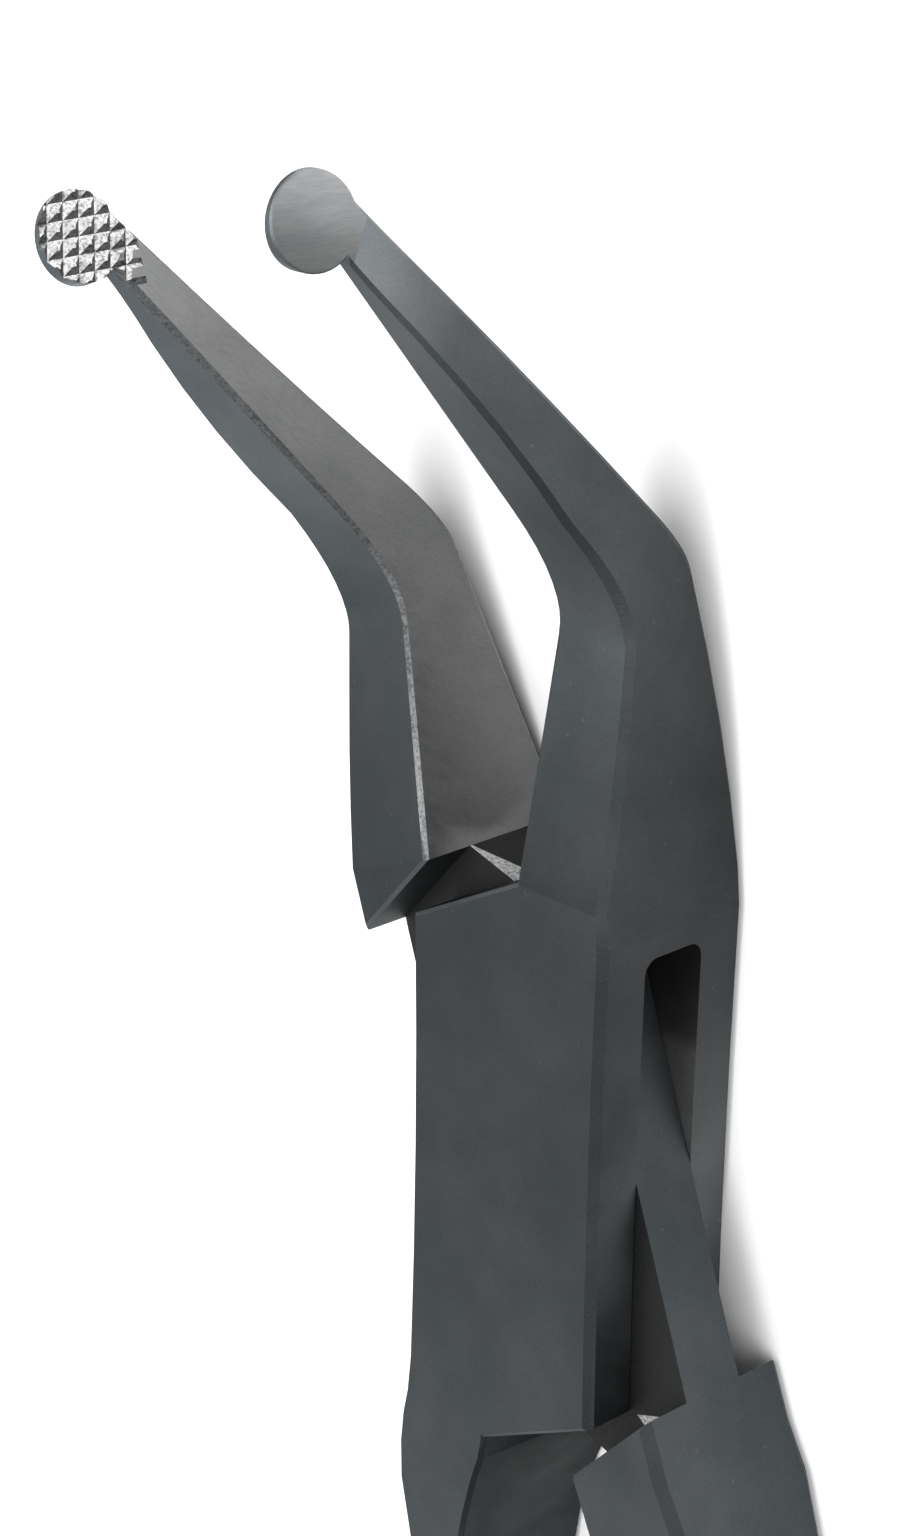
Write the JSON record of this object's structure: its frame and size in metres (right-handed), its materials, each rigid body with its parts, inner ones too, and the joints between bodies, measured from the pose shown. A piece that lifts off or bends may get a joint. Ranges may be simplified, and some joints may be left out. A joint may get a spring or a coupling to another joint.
{
  "type": "box joint pliers",
  "caption": "Slender bench pliers with a riveted box joint and two jaws bent forward, each ending in a thin round pad, one pad cross-cut.",
  "frame": {"origin": "on the pivot axis, on the back face of the box that the pliers rest on", "axes": "+X along the tool to the jaw tips, +Y to the left jaw, +Z out of the front face, the way the jaws bend"},
  "size_m": [0.1292, 0.0587, 0.0151],
  "materials": {
    "blasted_steel": "matte bead-blasted dark grey",
    "rivet_steel": "matte, ground flush"
  },
  "bodies": {
    "box_body": {"box_half": "blasted_steel", "pivot_pin": "rivet_steel"},
    "tongue_body": {"tongue_half": "blasted_steel"}
  },
  "joints": [
    {"name": "pivot", "type": "hinge", "parent": "box_body", "child": "tongue_body", "pos_m": [0, 0, 0.0033], "axis": [0, 0, 1], "range_deg": [-20, 6]}
  ]
}
